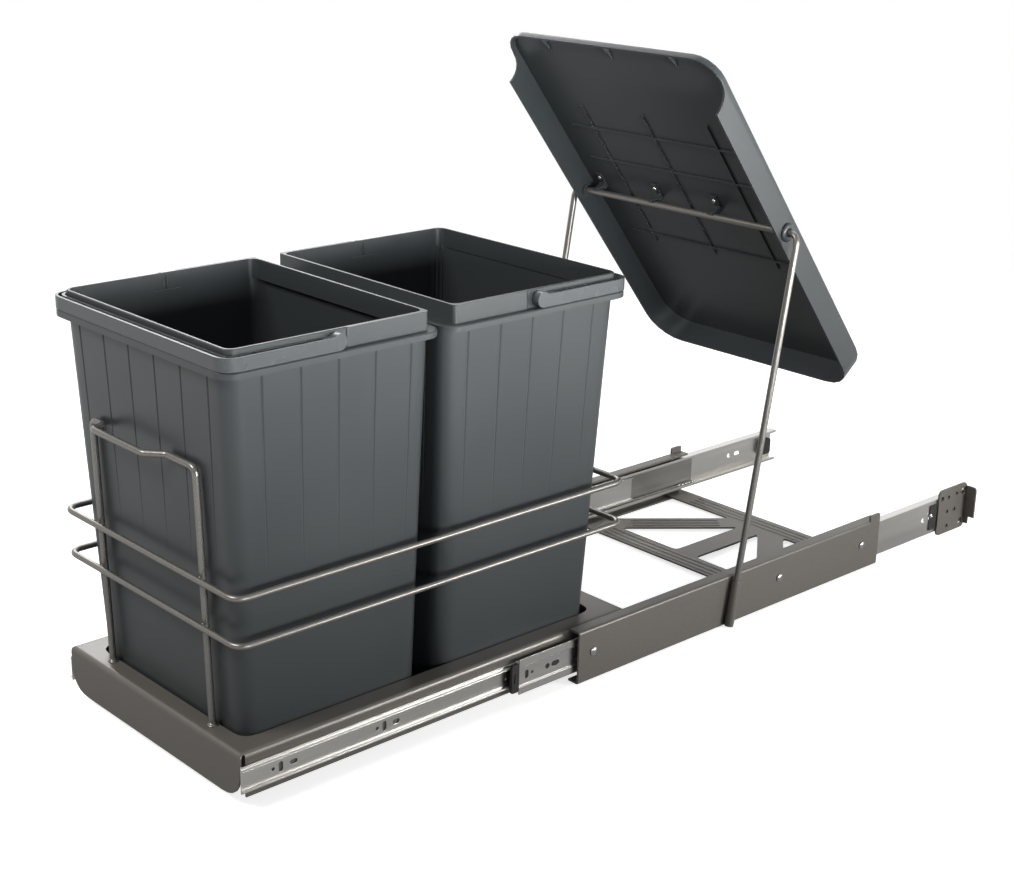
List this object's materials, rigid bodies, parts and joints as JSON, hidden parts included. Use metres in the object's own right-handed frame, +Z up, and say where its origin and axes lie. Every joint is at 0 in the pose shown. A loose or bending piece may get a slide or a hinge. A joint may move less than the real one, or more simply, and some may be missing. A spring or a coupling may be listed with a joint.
{
  "type": "pull-out waste bin unit",
  "caption": "Cabinet waste bin unit on ball slides: a sheet tray with lift-out bins in a wire guard, side channels, a floor plate and a lid that tilts on a wire frame as the tray moves.",
  "frame": {"origin": "under the foot of the stamped floor plate, on the cabinet floor", "axes": "+Z up, -Y out of the cabinet to the front, +X to the right seen from the front"},
  "size_m": [0.2858, 0.9087, 0.5117],
  "materials": {
    "anthracite_paint": "satin anthracite powder coat",
    "coated_wire": "semi-gloss anthracite coated wire",
    "zinc_plated_steel": "bright zinc-plated rolled steel",
    "ball_steel": "bright steel strip and balls",
    "rivet_steel": "bright pressed rivet head",
    "bin_plastic": "fine-grained moulded anthracite plastic",
    "handle_plastic": "smooth satin moulded anthracite plastic",
    "black_rubber": "matt black"
  },
  "bodies": {
    "cabinet_side": {"channel_left": "anthracite_paint", "channel_right": "anthracite_paint", "floor_plate": "anthracite_paint", "rear_bracket_right": "anthracite_paint", "wire_socket_left": "anthracite_paint", "wire_socket_right": "anthracite_paint", "lid_wire": "coated_wire", "outer_rail_left": "zinc_plated_steel", "outer_rail_right": "zinc_plated_steel", "rail_buffer_left": "black_rubber", "rail_buffer_right": "black_rubber", "rivet_left_1": "rivet_steel", "rivet_left_2": "rivet_steel", "rivet_left_3": "rivet_steel", "rivet_right_1": "rivet_steel", "rivet_right_2": "rivet_steel", "rivet_right_3": "rivet_steel"},
    "drawer": {"tray": "anthracite_paint", "bin_pan": "anthracite_paint", "inner_rail_left": "zinc_plated_steel", "inner_rail_right": "zinc_plated_steel", "front_hoop": "coated_wire", "rear_hoop": "coated_wire", "guard_loop_lower": "coated_wire", "guard_loop_upper": "coated_wire"},
    "middle_rails": {"middle_rail_left": "zinc_plated_steel", "middle_rail_right": "zinc_plated_steel"},
    "outer_cages": {"outer_ball_cage_left": "ball_steel", "outer_ball_cage_right": "ball_steel"},
    "inner_cages": {"inner_ball_cage_left": "ball_steel", "inner_ball_cage_right": "ball_steel"},
    "front_bin_body": {"front_bin": "bin_plastic"},
    "rear_bin_body": {"rear_bin": "bin_plastic"},
    "front_handle_body": {"front_bin_handle": "handle_plastic"},
    "rear_handle_body": {"rear_bin_handle": "handle_plastic"},
    "lid_body": {"lid": "bin_plastic", "rod_clip_1": "black_rubber", "rod_clip_2": "black_rubber", "rod_clip_3": "black_rubber"}
  },
  "joints": [
    {"name": "tray_slide", "type": "slide", "parent": "cabinet_side", "child": "drawer", "axis": [0, -1, 0], "range_m": [-0.382, 0]},
    {"name": "middle_rail_slide", "type": "slide", "parent": "cabinet_side", "child": "middle_rails", "axis": [0, -1, 0], "range_m": [-0.191, 0]},
    {"name": "outer_cage_slide", "type": "slide", "parent": "cabinet_side", "child": "outer_cages", "axis": [0, -1, 0], "range_m": [-0.0955, 0]},
    {"name": "inner_cage_slide", "type": "slide", "parent": "cabinet_side", "child": "inner_cages", "axis": [0, -1, 0], "range_m": [-0.2865, 0]},
    {"name": "lid_tilt", "type": "hinge", "parent": "cabinet_side", "child": "lid_body", "pos_m": [0, -0.087, 0.3545], "axis": [-1, 0, 0], "range_deg": [-51.5, 0]},
    {"name": "front_bin_lift", "type": "slide", "parent": "drawer", "child": "front_bin_body", "axis": [0, 0, 1], "range_m": [0, 0.22]},
    {"name": "rear_bin_lift", "type": "slide", "parent": "drawer", "child": "rear_bin_body", "axis": [0, 0, 1], "range_m": [0, 0.22]},
    {"name": "front_handle_swing", "type": "hinge", "parent": "front_bin_body", "child": "front_handle_body", "pos_m": [0, -0.5701, 0.3368], "axis": [-1, 0, 0], "range_deg": [0, 90]},
    {"name": "rear_handle_swing", "type": "hinge", "parent": "rear_bin_body", "child": "rear_handle_body", "pos_m": [0, -0.3724, 0.3368], "axis": [1, 0, 0], "range_deg": [0, 90]}
  ],
  "couplings": [
    {"joint": "middle_rail_slide", "follows": "tray_slide", "ratio": 0.5},
    {"joint": "outer_cage_slide", "follows": "tray_slide", "ratio": 0.25},
    {"joint": "inner_cage_slide", "follows": "tray_slide", "ratio": 0.75},
    {"joint": "lid_tilt", "follows": "tray_slide", "rad_per_m": 2.3529}
  ]
}
